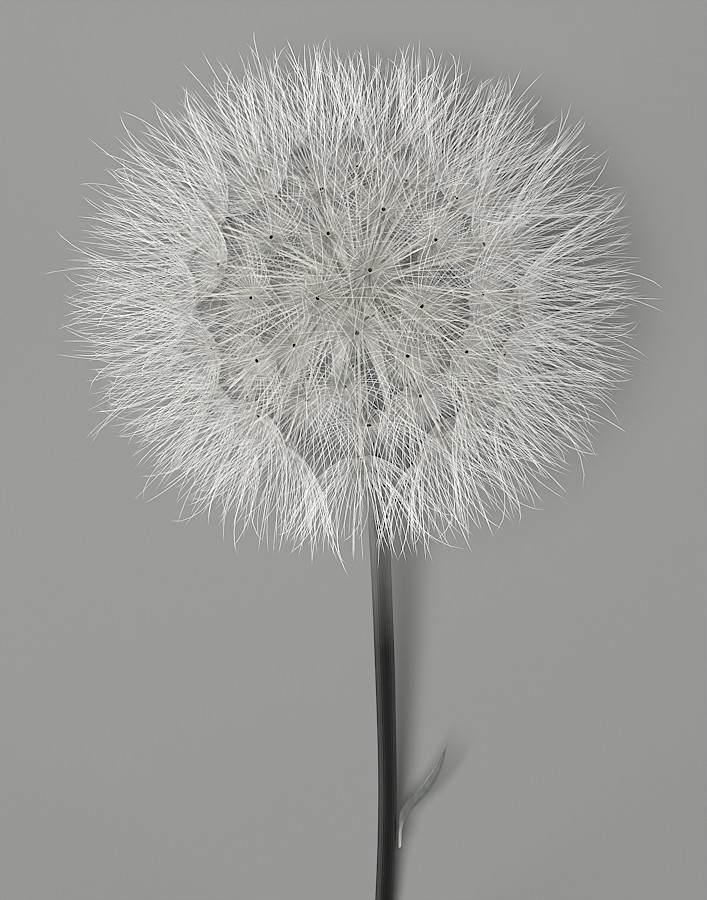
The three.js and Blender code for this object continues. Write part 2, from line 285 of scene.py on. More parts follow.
def numbers_of_chance(seed):
    """A repeatable stream of numbers from 0 to 1, the same as the solids'."""
    factor, step, size = 1664525, 1013904223, 2**32
    state = seed
    while True:
        state = (state * factor + step) % size
        yield state / size


def settled(axes, head):
    """Gives each facing seed to the lattice direction nearest to it, and moves the hidden ones apart."""
    hidden = list(range(head.lattice_seeds))
    for tilt, around in FACING_SEEDS:
        wanted = direction(math.radians(tilt), math.radians(around))
        nearest = max(hidden, key=lambda i: axes[i] @ wanted)
        axes[nearest] = wanted
        hidden.remove(nearest)
    for _ in range(head.spacing_rounds):
        for i in hidden:
            apart = axes[i] - np.delete(axes, i, axis=0)
            push = (apart / np.linalg.norm(apart, axis=1, keepdims=True) ** 4).sum(axis=0)
            axes[i] = unit(axes[i] + push * head.spacing_push)
    return axes


def seed_places(head):
    """Every seed's stalk and the frame of its pappus, in the same places as the solids'."""
    stream = numbers_of_chance(head.chance)

    def jitter(size):
        return (next(stream) - 0.5) * 2 * size

    axes, numbers = [], []

    def add(tilt, around):
        axes.append(direction(tilt, around))
        numbers.append((head.apex_distance * (1 + jitter(start_off)), 1 + jitter(reach_off), next(stream)))

    # by chance: shares of a pappus' start and reach, and radians over the ball
    start_off, reach_off, lattice_off, whorl_off, whorl_turn_off = 0.03, 0.035, 0.035, 0.02, 0.04
    lowest = math.cos(head.lattice_reach)
    for i in range(head.lattice_seeds):
        plain = math.acos(1 - ((i + 0.5) / head.lattice_seeds) * (1 - lowest))
        turn_off = lattice_off / max(math.sin(plain), 0.3)
        add(plain + jitter(lattice_off), i * GOLDEN_TURN + jitter(turn_off))
    for i in range(head.whorl_seeds):
        add(head.whorl_angle + jitter(whorl_off), i / head.whorl_seeds * math.tau + jitter(whorl_turn_off))
    axes = settled(np.array(axes), head)
    return [seed_frame(head, axis, *own) for axis, own in zip(axes, numbers)]


def seed_frame(head, axis, apex_distance, reach, turn):
    """The stalk's three control points and the pappus' apex, axis and cross directions."""
    tilt, around = math.acos(axis[2]), math.atan2(axis[0], -axis[1])
    dome = np.array([head.receptacle_width / 2, head.receptacle_width / 2, head.receptacle_rise])
    apex_distance = apex_distance * (1 - head.apex_dip * max(axis[2], 0) ** 2)
    flat, up = math.sin(tilt), math.cos(tilt)
    ball_radius = 1 / math.hypot(flat / (head.width / 2), up / (head.depth / 2))
    level = unit(np.cross(UP, axis))
    across = level * math.cos(turn * math.pi) + np.cross(axis, level) * math.sin(turn * math.pi)
    # a stalk leaves the dome nearer to the crown than it ends: shares of its last angle and distance
    root_angle, bow_angle, bow_distance = 0.62, 0.81, 0.36
    return SimpleNamespace(
        root=direction(tilt * root_angle, around) * dome,
        bow=direction(tilt * bow_angle, around) * apex_distance * bow_distance,
        apex=axis * apex_distance,
        axis=axis,
        across=across,
        other=np.cross(axis, across),
        reach=reach * ball_radius,
    )


def stem_sway(heights, foot):
    """How far the stem has swayed to the side at some heights."""
    sway = [0, 1.9, 3.5, 4.4, 5.05, 5.4, 5.0, 4.2]  # mm, at equal steps from the hub to the cut end
    route = smooth_route([(x, 0, foot * i / (len(sway) - 1)) for i, x in enumerate(sway)], 200)
    return np.interp(-np.asarray(heights), -route[:, 2], route[:, 0])


def stem_ends(place, involucre, stem):
    """Heights of the stem's top and of its cut end, in the plant's frame."""
    half = stem.width / 2
    top = -involucre.collar_bottom - stem.gap
    flat = 0.12  # mm, pressed flat where the cut end rests
    foot = -(place.hub_height + flat - half * math.cos(place.slope)) / math.sin(place.slope)
    return top, foot


# ---- skins


def smooth_route(points, steps):
    """A smooth curve through points, at equal steps of its parameter."""
    knots = np.asarray(points, float)
    padded = np.vstack((2 * knots[0] - knots[1], knots, 2 * knots[-1] - knots[-2]))
    at = np.linspace(0, len(knots) - 1, steps)
    first = np.minimum(at.astype(int), len(knots) - 2)
    t = (at - first)[:, None]
    a, b, c, d = (padded[first + i] for i in range(4))
    return 0.5 * (2 * b + (c - a) * t + (2 * a - 5 * b + 4 * c - d) * t**2 + (3 * b - a - 3 * c + d) * t**3)


def carried_frames(paths):
    """Two cross directions at every point of every path, carried along it without twist."""
    along = unit(np.gradient(paths, axis=1))
    least = np.abs(along[:, 0]).argmin(axis=1)
    side = unit(np.cross(along[:, 0], np.eye(3)[least]))
    sides = [side]
    for i in range(1, paths.shape[1]):
        side = unit(side - (side * along[:, i]).sum(-1, keepdims=True) * along[:, i])
        sides.append(side)
    sides = np.stack(sides, axis=1)
    return sides, np.cross(along, sides)


def strand_skin(paths, radii, sides, strips):
    """Closed strands along paths (strand, point, 3), pointed at the tip, each on its strip of the strand map.

    radii has one number for every point of a path.
    """
    count, points = paths.shape[:2]
    rings = points - 1
    side, other = carried_frames(paths)
    turn = turns(sides)
    radii = np.broadcast_to(radii, (count, points))[:, :rings, None, None]
    ring = paths[:, :rings, None] + radii * (
        np.cos(turn)[:, None] * side[:, :rings, None] + np.sin(turn)[:, None] * other[:, :rings, None]
    )
    corners = np.concatenate((ring.reshape(count, rings * sides, 3), paths[:, -1:]), axis=1)

    # one strand's triangles: their corners, and how far along and around it each corner is
    triangles = [((0, k + 1, k), (0, 0.003, 0.006), (0, k + 1, k)) for k in range(1, sides - 1)]
    for j, k in np.ndindex(rings, sides):
        low, high = j * sides, (j + 1) * sides
        n = (k + 1) % sides
        u0, u1 = j / rings, (j + 1) / rings
        if j == rings - 1:
            triangles.append(((low + k, low + n, high), (u0, u0, u1), (k, k + 1, k + 0.5)))
        else:
            triangles.append(((low + k, low + n, high + n), (u0, u0, u1), (k, k + 1, k + 1)))
            triangles.append(((low + k, high + n, high + k), (u0, u1, u1), (k, k + 1, k)))
    faces, along, around = (np.array(column)[None] for column in zip(*triangles))
    faces = faces + np.arange(count)[:, None, None] * corners.shape[1]
    v = (strips[:, None, None] + 0.15 + 0.7 * around / sides) / STRIPS  # clear of the strip's edges
    u = np.broadcast_to(along, v.shape)
    return SimpleNamespace(
        corners=corners.reshape(-1, 3),
        faces=faces.reshape(-1, 3),
        strip_map=np.stack((u, v), axis=-1).reshape(-1, 2),
        marks={},
    )


def sheet_skin(grid, marks):
    """A closed skin over a grid of points (row, column, 3) whose columns go once round, both ends filled.

    marks are values kept on the mesh for its finish, for every row and column.
    """
    rows, columns = grid.shape[:2]
    ring = np.arange(columns)
    after = (ring + 1) % columns
    start = np.arange(rows - 1)[:, None] * columns
    a, b, c, d = start + ring, start + after, start + columns + after, start + columns + ring
    end, first, last = (rows - 1) * columns, rows * columns, rows * columns + 1
    triangles = ((a, b, c), (a, c, d), (after, ring, first), (end + ring, end + after, last))
    faces = [np.stack(np.broadcast_arrays(*corners), -1).reshape(-1, 3) for corners in triangles]
    all_marks = {}
    for name, values in marks.items():
        values = np.broadcast_to(values, (rows, columns))
        all_marks[name] = np.concatenate((values.reshape(-1), [values[0].mean(), values[-1].mean()]))
    return SimpleNamespace(
        corners=np.concatenate((grid.reshape(-1, 3), [grid[0].mean(0)], [grid[-1].mean(0)])),
        faces=np.concatenate(faces),
        strip_map=None,
        marks=all_marks,
    )


def lay(skins, place):
    """Puts skins from the plant's frame to where the plant lies."""
    for skin in skins:
        skin.corners = laid_down(skin.corners, place)
    return skins


def placed(name, data):
    """A new object in the scene."""
    thing = bpy.data.objects.new(name, data)
    bpy.context.scene.collection.objects.link(thing)
    return thing


def piece(name, skins, material, node):
    """One object of one or more skins that replaces a CAD node and rides on the plant's body."""
    corners = np.concatenate([skin.corners for skin in skins]) * MM
    starts = np.cumsum([0] + [len(skin.corners) for skin in skins[:-1]])
    faces = np.concatenate([skin.faces + start for skin, start in zip(skins, starts)])
    mesh = bpy.data.meshes.new(name)
    mesh.vertices.add(len(corners))
    mesh.vertices.foreach_set("co", corners.astype(np.float32).ravel())
    mesh.loops.add(faces.size)
    mesh.loops.foreach_set("vertex_index", faces.astype(np.int32).ravel())
    mesh.polygons.add(len(faces))
    mesh.polygons.foreach_set("loop_start", np.arange(0, faces.size, 3, dtype=np.int32))
    mesh.polygons.foreach_set("use_smooth", np.ones(len(faces), bool))
    mesh.update(calc_edges=True)
    if skins[0].strip_map is not None:
        flat = np.concatenate([skin.strip_map for skin in skins]).astype(np.float32)
        mesh.uv_layers.new(name=HAIR_MAP).data.foreach_set("uv", flat.ravel())
    for mark in skins[0].marks:
        values = np.concatenate([skin.marks[mark] for skin in skins]).astype(np.float32)
        mesh.attributes.new(mark, "FLOAT", "POINT").data.foreach_set("value", values)
    mesh.materials.append(material)
    thing = placed(name, mesh)
    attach(thing, BODY)
    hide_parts(node)


# ---- finishes


def add_node(tree, kind, settings=None, values=None, links=None, stops=()):
    """Adds a node with its own settings, its sockets' values and links, and its ramp's stops."""
    node = tree.nodes.new(kind)
    for name, value in (settings or {}).items():
        setattr(node, name, value)
    for name, value in (values or {}).items():
        node.inputs[name].default_value = value
    for name, source in (links or {}).items():
        tree.links.new(source, node.inputs[name])
    if stops:
        elements = node.color_ramp.elements
        while len(elements) < len(stops):
            elements.new(0.5)
        for element, (place, shade) in zip(elements, stops):
            element.position = place
            element.color = shade
    return node


def blank_finish(name, **surface):
    """A new material with only its principled surface, set from the keywords."""
    material = bpy.data.materials.new(name)
    material.use_nodes = True
    tree = material.node_tree
    shader = tree.nodes["Principled BSDF"]
    for socket, value in surface.items():
        shader.inputs[socket.replace("_", " ")].default_value = value
    return material, tree, shader


def toned(shade, factor):
    """A colour made darker or lighter."""
    return (*[min(c * factor, 1) for c in shade[:3]], 1.0)


def tinted(tree, shader, base, tint, tint_stops):
    """Colours a surface: a base colour times a tint, whose colours run along a value."""
    tint = add_node(tree, "ShaderNodeValToRGB", links={"Fac": tint}, stops=tint_stops).outputs["Color"]
    times = {"data_type": "RGBA", "blend_type": "MULTIPLY"}
    both = add_node(tree, "ShaderNodeMix", times, {0: 1.0}, {6: base, 7: tint})
    tree.links.new(both.outputs[2], shader.inputs["Base Color"])


def by_mark(tree, mark, stops):
    """Colours that run along a value kept on the mesh."""
    value = add_node(tree, "ShaderNodeAttribute", {"attribute_name": mark})
    shade = add_node(tree, "ShaderNodeValToRGB", links={"Fac": value.outputs["Fac"]}, stops=stops)
    return shade.outputs["Color"]


def on_strand(tree):
    """Where a point is on the strand map: along its hair, and up the strips of shade."""
    strand = add_node(tree, "ShaderNodeUVMap", {"uv_map": HAIR_MAP})
    parts = add_node(tree, "ShaderNodeSeparateXYZ", links={"Vector": strand.outputs["UV"]})
    return parts.outputs["X"], parts.outputs["Y"]


def grained(tree, shader, base, millimetres, relief, tones, stretch=(1, 1, 1)):
    """Colours a surface and makes it uneven, in relief and in tone, with a grain given in mm."""
    place = add_node(tree, "ShaderNodeTexCoord").outputs["Object"]
    mapped = add_node(tree, "ShaderNodeMapping", values={"Scale": stretch}, links={"Vector": place})
    fine = {"Scale": 1 / (millimetres * MM), "Detail": 3}
    noise = add_node(tree, "ShaderNodeTexNoise", None, fine, {"Vector": mapped.outputs["Vector"]})
    height = noise.outputs["Fac"]
    worn = {"Strength": relief, "Distance": 0.1 * millimetres * MM}  # a tenth of the grain deep
    bump = add_node(tree, "ShaderNodeBump", None, worn, {"Height": height})
    tree.links.new(bump.outputs["Normal"], shader.inputs["Normal"])
    low, high = tones
    tinted(tree, shader, base, height, [(0.3, (low, low, low, 1)), (0.7, (high, high, high, 1))])


def silky_hair_finish(colours):
    """Dry plumed hair, as it grew: a smooth clean fibre, so it has a soft bright line along it."""
    material, tree, shader = blank_finish("silky_pappus_hair", Roughness=0.42, Sheen_Weight=0.2)
    along, strip = on_strand(tree)
    # the strips run from the painted shade of the fine hairs up to the bright bristles
    shades = [(0.0, colours.dull_hair), (1.0, colours.hair)]
    shade = add_node(tree, "ShaderNodeValToRGB", links={"Fac": strip}, stops=shades)
    tinted(tree, shader, shade.outputs["Color"], along, [(0.0, colours.bristle_root), (0.2, WHITE)])
    return material


def achene_finish(colours):
    """Ripe ribbed fruit that runs out into a straw-like beak: dry, matt at the body, paler up the beak."""
    material, tree, shader = blank_finish("ripe_achene_husk", Roughness=0.62)
    along, strip = on_strand(tree)
    fruit = toned(colours.achene, 1.1)
    shades = [(0.0, fruit), (0.3, colours.achene), (0.5, colours.beak), (1.0, colours.beak)]
    body = add_node(tree, "ShaderNodeValToRGB", links={"Fac": along}, stops=shades)
    counted = add_node(tree, "ShaderNodeMath", {"operation": "MULTIPLY"}, {1: STRIPS}, {0: strip})
    whole = add_node(tree, "ShaderNodeMath", {"operation": "FLOOR"}, links={0: counted.outputs[0]})
    lot = add_node(tree, "ShaderNodeTexWhiteNoise", {"noise_dimensions": "1D"}, links={"W": whole.outputs[0]})
    tints = [(0.0, colours.achene_tint), (1.0, WHITE)]
    tinted(tree, shader, body.outputs["Color"], lot.outputs["Value"], tints)
    return material


def receptacle_finish(colours):
    """Dried pithy cushion, pitted where the seeds sit: chalky and pale, with painted shade darker down in its
    pits.
    """
    material, tree, shader = blank_finish("dried_receptacle_pith", Roughness=0.85)
    # painted shade: the colour darkens with each pit's depth, which is kept on the mesh
    base = by_mark(tree, "pit", [(0.0, colours.receptacle), (1.0, toned(colours.achene, 0.5))])
    grained(tree, shader, base, millimetres=0.35, relief=0.6, tones=(0.82, 1.0))
    return material


def disc_finish(colours):
    """Small woody disc at the beak's top: a pale rim round a dark sunken middle, with painted shade darker
    still at its bottom.
    """
    material, tree, shader = blank_finish("woody_pappus_disc", Roughness=0.6)
    # deep is painted shade, at the bottom of the sunken middle
    middle, deep = colours.disc_middle, toned(colours.disc_middle, 0.5)
    base = by_mark(tree, "middle", [(0.0, colours.disc), (0.45, colours.disc), (0.62, middle), (1.0, deep)])
    grained(tree, shader, base, millimetres=0.12, relief=0.4, tones=(0.85, 1.0))
    return material


def bract_finish(colours):
    """Withered leathery bract: grey-green with fine lengthwise veins and a thin dry margin."""
    material, tree, shader = blank_finish("withered_bract", Roughness=0.66)
    bract, keel = colours.bract, toned(colours.bract, 1.25)
    base = by_mark(tree, "edge", [(0.0, keel), (0.12, bract), (0.72, bract), (0.95, colours.bract_edge)])
    veins = (1, 1, 0.25)  # drawn out lengthwise
    grained(tree, shader, base, millimetres=0.5, relief=0.5, tones=(0.72, 1.05), stretch=veins)
    return material


def stem_finish(colours):
    """Living green stem with a thin bloom of wax: a low satin gloss, paler up at the neck."""
    material, tree, shader = blank_finish("waxy_green_stem", Roughness=0.5, Specular_IOR_Level=0.4)
    stem, neck = colours.stem, colours.stem_top
    stops = [(0.0, colours.pith), (0.004, stem), (0.55, stem), (0.78, neck), (1.0, neck)]
    base = by_mark(tree, "along", stops)
    streaks = (1, 0.12, 1)  # drawn out along the stem
    grained(tree, shader, base, millimetres=1.6, relief=0.25, tones=(0.8, 1.08), stretch=streaks)
    return material


def leaf_finish(colours):
    """Narrow green leaf: satin, with a faint midrib and a pale foot where it hugs the stem."""
    material, tree, shader = blank_finish("satin_leaf_blade", Roughness=0.5)
    midrib = toned(colours.leaf, 1.3)
    across = by_mark(tree, "edge", [(0.0, midrib), (0.16, colours.leaf), (1.0, colours.leaf)])
    foot = by_mark(tree, "along", [(0.0, WHITE), (0.3, (0, 0, 0, 1))])
    rib = {7: colours.leaf_rib}
    blade = add_node(tree, "ShaderNodeMix", {"data_type": "RGBA"}, rib, {0: foot, 6: across}).outputs[2]
    veins = (1, 0.3, 1)
    grained(tree, shader, blade, millimetres=0.8, relief=0.35, tones=(0.8, 1.05), stretch=veins)
    return material


def floor_finish(colours):
    """Plain studio board, matt."""
    return blank_finish("plain_pale_board", Base_Color=colours.floor, Roughness=0.9)[0]


# ---- seeds


def stalk_paths(seeds, shares):
    """Routes of the stalks from the receptacle to the pappus, at some shares of their length."""
    t = np.asarray(shares)[None, :, None]
    root, bow, apex = (np.stack([getattr(s, key) for s in seeds])[:, None] for key in ("root", "bow", "apex"))
    sunk = 0.86  # a stalk starts a little inside the dome
    return (1 - t) ** 2 * root * sunk + 2 * t * (1 - t) * bow + t**2 * apex


def achene_skin(seeds, head, draw):
    """Ribbed fruits, each running out into its beak."""
    body, beak = head.achene_width / 2, head.beak_width / 2
    shares = [0, 0.04, 0.09, 0.15, 0.21, 0.27, 0.33, 0.39, 0.45, 0.52, 0.64, 0.78, 0.9, 0.97, 1]
    thick = [0.45, 0.72, 0.92, 1, 1, 0.93, 0.8, 0.62, 0.46]
    radii = np.array([body * t for t in thick] + [beak * t for t in (1.05, 0.95, 0.92, 1, 1.25, 1.5)])
    sides = 10  # every second corner of a ring stands out, which makes five ribs down the fruit
    skin = strand_skin(stalk_paths(seeds, shares), radii, sides, draw.integers(0, STRIPS, len(seeds)))
    rings = skin.corners.reshape(len(seeds), -1, 3)
    cut = rings[:, :-1].reshape(len(seeds), len(shares) - 1, sides, 3)
    middle = cut.mean(axis=2, keepdims=True)
    deepest, at, reach = 0.16, 0.18, 0.24  # share of the half width, and shares of the length
    depth = deepest * np.clip(1 - np.abs(np.array(shares[:-1]) - at) / reach, 0, 1)
    ribs = np.where(np.arange(sides) % 2 == 0, 1, -1)
    factor = 1 + depth[:, None, None] * ribs[:, None]
    rings[:, :-1] = (middle + (cut - middle) * factor).reshape(len(seeds), -1, 3)
    skin.corners = rings.reshape(-1, 3)
    return skin


def round_axis(seed, turn):
    """Directions square to a pappus' axis at some turns round it."""
    return np.cos(turn)[..., None] * seed.across + np.sin(turn)[..., None] * seed.other


def disc_skin(seed, head):
    """The small cupped disc that the bristles leave, as a lathe about the pappus' axis."""
    profile = [  # share of the half width, height in mm, and how far into the sunken middle
        (0.4, -0.45, 0), (0.55, -0.2, 0), (0.9, 0.0, 0), (1.06, 0.14, 0), (1.08, 0.3, 0.1),
        (0.96, 0.42, 0.3), (0.78, 0.43, 0.5), (0.62, 0.34, 0.75), (0.5, 0.22, 0.95), (0.25, 0.18, 1.0),
    ]
    out, up, middle = np.array(profile).T[..., None]
    around = round_axis(seed, turns(16))
    grid = seed.apex + (out * (head.disc_width / 2))[..., None] * around + up[..., None] * seed.axis
    # the mark of how far into the sunken middle a point is also sets the painted shade at its bottom
    return sheet_skin(grid, {"middle": middle})


def receptacle_skin(head, seeds):
    """Dome with a flat back and a pit round the foot of every seed."""
    half, drop, rise = head.receptacle_width / 2, head.receptacle_drop, head.receptacle_rise
    back = [(0.1, -1.0), (0.5, -1.0), (0.8, -0.96), (0.9, -0.88), (0.97, -0.6), (1.0, -0.25)]
    profile = [(half * out, drop * up) for out, up in back]
    profile += [(half * math.cos(a), rise * math.sin(a)) for a in np.linspace(0, math.pi / 2 * 0.97, 22)]
    profile = np.array(profile)
    grid = profile[:, 0, None, None] * outward(turns(72)) + profile[:, 1, None, None] * UP
    roots = np.stack([seed.root for seed in seeds])
    near = np.linalg.norm(grid[:, :, None] - roots, axis=-1).min(axis=2)
    # in mm: how wide a pit is, where its raised rim is and how wide that is, and how deep it goes
    pit_width, rim_place, rim_width, depth = 0.42, 0.62, 0.2, 0.32
    pit = np.exp(-((near / pit_width) ** 2)) - 0.35 * np.exp(-(((near - rim_place) / rim_width) ** 2))
    # each pit's depth is kept on the mesh too, for the painted shade down in the pits
    return sheet_skin(grid - unit(grid) * (depth * pit)[..., None], {"pit": np.clip(pit, 0, 1)})


# ---- pappi


def bell_profile(pappus):
    """The skin of a pappus bell: run along it from the disc, distance from its axis, rise, and lean."""
    width = np.linspace(0, 30, 601)  # mm, wider than any bell
    limit = math.tan(pappus.steepest)
    slope = limit * np.tanh(width / (pappus.dome_curve * limit))
    step = width[1]
    rise = np.concatenate(([0], np.cumsum((slope[1:] + slope[:-1]) / 2 * step)))
    run = np.concatenate(([0], np.cumsum(np.hypot(step, np.diff(rise)))))
    return SimpleNamespace(run=run, width=width, rise=rise, lean=np.arctan(slope))


class Bell:
    """One pappus: places on its skin, with the small lopsidedness of a grown thing."""

    def __init__(self, seed, profile, draw):
        self.seed = seed
        self.profile = profile
        self.girth = draw.uniform(0.93, 1.07)
        self.squash = draw.uniform(0, 0.08)
        self.squash_turn = draw.uniform(0, math.pi)
        self.ripple = draw.uniform(0, math.tau, 2)
        self.lean = draw.normal(0, 0.05, 2)
        distance = np.hypot(profile.width, profile.rise + np.linalg.norm(seed.apex))
        self.end = float(np.interp(seed.reach, distance, profile.run))

    def width_at(self, run):
        return np.interp(run, self.profile.run, self.profile.width) + BRISTLE_START

    def at(self, turn, run, lift):
        """Points at a turn round the axis, a run along the skin and a lift off it, away from the axis."""
        skin = self.profile
        lean, width, rise = (np.interp(run, skin.run, part) for part in (skin.lean, skin.width, skin.rise))
        # shares and mm, each of which grows in over some mm of the run
        oval = self.squash * np.cos(2 * (turn - self.squash_turn)) * eased(2, 10, run)
        lobed = 0.04 * np.sin(3 * turn + self.ripple[0]) * eased(3, 14, run)
        wavy = 0.3 * np.sin(2 * turn + self.ripple[1]) * eased(4, 12, run)
        width = width * self.girth * (1 + oval + lobed) + np.sin(lean) * lift
        rise = rise - np.cos(lean) * lift + wavy
        tipped = self.lean[0] * self.seed.across + self.lean[1] * self.seed.other
        full, seat = 20, 0.2  # mm up the axis: where the whole bell leans, and where its bristles stand
        axis = self.seed.axis + tipped * np.minimum(rise, full)[..., None] / full
        out = round_axis(self.seed, turn) * width[..., None]
        return self.seed.apex + out + axis * (rise + seat)[..., None]


def bristles_of(bell, pappus, draw):
    """The main bristles: over the dome and out to the ball's surface, a few past it in curls.

    Gives each bristle's turn, run and lift on the bell's skin and its curl off it, at equal steps along it.
    """
    count = pappus.bristles + draw.integers(-2, 3)
    each = (count, 1)
    turn = (np.arange(count)[:, None] + draw.uniform(-0.3, 0.3, each)) / count * math.tau
    # shares of the bell's reach, and mm that a tip bends to the side and back
    reach = draw.uniform(0.92, 1.06, each)
    bend = draw.uniform(0.0, 1.6, each)
    back = draw.uniform(0.0, 0.2, each)
    wisps = draw.choice(count, pappus.wisps, replace=False)
    few = (pappus.wisps, 1)
    reach[wisps] = 1 + draw.beta(1.2, 2.0, few) * 0.22
    bend[wisps] = draw.uniform(0.8, 5.0, few)
    curls_back = bend[wisps] > 2.4
    back[wisps] = draw.uniform(0.2, 2.2, few) * curls_back
    points = HAIRS["bristle"].points
    t = np.linspace(0, 1, points)
    run = BRISTLE_START + (bell.end * reach - BRISTLE_START) * t
    drift = draw.normal(0, 0.05, each) * t**2
    swing = draw.uniform(0.0, 0.012, each)
    wave = swing * np.sin(t * draw.uniform(5, 12, each) + draw.uniform(0, 6, each))
    lift = draw.normal(0, 0.4, each) * t**2.5
    around = turn + drift + wave * eased(0.1, 0.4, t)
    curl_start = 0.62
    curl = (np.clip((t - curl_start) / (1 - curl_start), 0, 1) ** 2)[:, None]
    heading = draw.uniform(0, math.tau, (count, 1, 1))
    tangent = round_axis(bell.seed, around + math.pi / 2)
    sideways = np.cos(heading) * tangent + np.sin(heading) * round_axis(bell.seed, around)
    offset = curl * (bend[..., None] * sideways - back[..., None] * curl * bell.seed.axis)
    radii = np.tile(taper(pappus.bristle_width, points, *HAIRS["bristle"].taper), each)
    radii[wisps] = taper(pappus.bristle_width, points, *WISP_TAPER)
    return SimpleNamespace(turn=around, run=run, lift=lift, offset=offset, count=count, radii=radii)


def beside(bristles, which, part):
    """Turn, run, lift and curl of some bristles at a part of their length."""
    steps = bristles.turn.shape[1] - 1
    first = np.minimum((part * steps).astype(int), steps - 1)
    rest = part * steps - first

    def mixed(values):
        share_on = rest.reshape(rest.shape + (1,) * (values.ndim - 2))
        return values[which, first] * (1 - share_on) + values[which, first + 1] * share_on

    return [mixed(values) for values in (bristles.turn, bristles.run, bristles.lift, bristles.offset)]


def felt_paths(bell, pappus, draw):
    """Fine hairs that fan out from the disc's surrounds over the dome, crossing each other at a slant."""
    each = (pappus.felt_hairs, 1)
    turn = draw.uniform(0, math.tau, each)
    start = draw.uniform(0.35, 2.4, each)  # mm along the dome
    forward = draw.uniform(3.0, 6.0, each)
    t = np.linspace(0, 1, HAIRS["felt"].points)
    slant = draw.normal(0, 1.5, each) / bell.width_at(start + forward / 2)
    lift = draw.normal(0, 0.04, each) + 0.06 * draw.normal(0, 1, each) * t**2
    return bell.at(turn + np.clip(slant, -0.6, 0.6) * t, start + forward * t, lift)


def barb_paths(bell, pappus, bristles, draw):
    """Short side hairs that cross from bristle to bristle like a loose web, up to an even edge."""
    each = (pappus.barbs, 1)
    which = draw.integers(0, bristles.count, each)
    edge = pappus.web_share * bell.end
    aim = edge * (0.06 + 0.94 * draw.beta(1.35, 1.0, each))
    part = np.clip(aim / bristles.run[which, -1], 0, 0.97)
    turn, run, lift, offset = beside(bristles, which, part)
    out = eased(0.5, 1.0, run / edge)
    # degrees off the bristle, less towards the edge, and mm long
    spread = np.radians(draw.uniform(40, 84, each) * (1 - out) + draw.uniform(22, 70, each) * out)
    size = draw.uniform(1.3, 3.0, each)
    side = draw.choice((-1.0, 1.0), each)
    t = np.linspace(0, 1, HAIRS["barb"].points)
    bowed = t * (1.15 - 0.15 * t)  # the hair leaves the bristle at its widest slant
    sideways = np.clip(side * size * np.sin(spread) / bell.width_at(run + size / 3), -1.1, 1.1)
    rise = draw.normal(0, 0.15, each) * t**1.5
    return bell.at(turn + sideways * bowed, run + size * np.cos(spread) * t, lift + rise) + offset


def plume_paths(bell, pappus, draw):
    """Long fine hairs that run on from the dome's shoulder towards the tips, side by side."""
    each = (pappus.plume_hairs, 1)
    turn = draw.uniform(0, math.tau, each)
    start = bell.end * draw.uniform(0.16, 0.6, each)
    longest = bell.end * draw.uniform(0.78, 0.97, each) - start
    forward = np.minimum(draw.uniform(5.0, 11.0, each), longest)  # mm
    t = np.linspace(0, 1, HAIRS["plume"].points)
    side = draw.normal(0, 1.1, each) / bell.width_at(start + forward)
    away = draw.normal(0, 0.05, each) + draw.normal(0, 0.35, each) * t**1.8
    return bell.at(turn + side * t, start + forward * t, away)


def pressed(paths, draw):
    """Hairs that would go through the ground lie along it in a thin layer, spread out a little."""
    least = 0.11 + draw.exponential(0.12, (len(paths), 1))  # mm over the ground
    depth = np.maximum(least - paths[..., 2], 0)
    away = unit((paths[:, -1] - paths[:, 0]) * (1, 1, 0))[:, None]
    push_out = 0.55  # share of the depth
    moved = paths + away * (push_out * depth)[..., None]
    moved[..., 2] = np.maximum(moved[..., 2], least)
    return moved


def clear_of_stem(paths, foot, clearance):
    """Hairs in the plant's frame that would run through the stem pass beside it."""
    stem_starts = -6  # mm
    centre = stem_sway(paths[..., 2], foot)
    off_x, off_y = paths[..., 0] - centre, paths[..., 1]
    distance = np.hypot(off_x, off_y)
    inside = (paths[..., 2] < stem_starts) & (distance < clearance)
    push = np.where(inside, clearance / np.maximum(distance, 0.05), 1)
    return np.stack((centre + off_x * push, off_y * push, paths[..., 2]), -1)


def taper(width, points, power, least):
    """Radii of a hair from its root to its tip."""
    t = np.linspace(0, 1, points)
    return width / 2 * (least + (1 - least) * (1 - t) ** power)


# ---- bracts, stem and leaf


def blade_skin(route, across, width, thickness, fold, rib):
    """A narrow blade along a route: a keel or midrib under it, edges folded up, closed all round.

    across is the direction of its breadth, width and thickness are given for every point of the route.
    """
    along = unit(np.gradient(route, axis=0))
    across = unit(across - (across * along).sum(-1, keepdims=True) * along)
    through = np.cross(along, across)
    columns = 14
    out = np.concatenate((np.linspace(-1, 1, columns), np.linspace(1, -1, columns)))
    upper = np.concatenate((np.ones(columns), -np.ones(columns)))
    body = np.sqrt(np.maximum(1 - out**2, 0)) * 0.75 + 0.25
    ridge, groove = np.exp(-((out / 0.16) ** 2)), np.exp(-((out / 0.1) ** 2))
    keel = np.where(upper < 0, rib * ridge, -0.35 * rib * groove)
    raised = thickness[:, None] * (upper * body * 0.5 + upper * keel)
    folded = width[:, None] / 2 * fold * out**2
    spread = across[:, None] * (width[:, None] / 2 * out)[..., None]
    grid = route[:, None] + spread + through[:, None] * (raised + folded)[..., None]
    return sheet_skin(grid, {"edge": np.abs(out)[None], "along": np.linspace(0, 1, len(route))[:, None]})


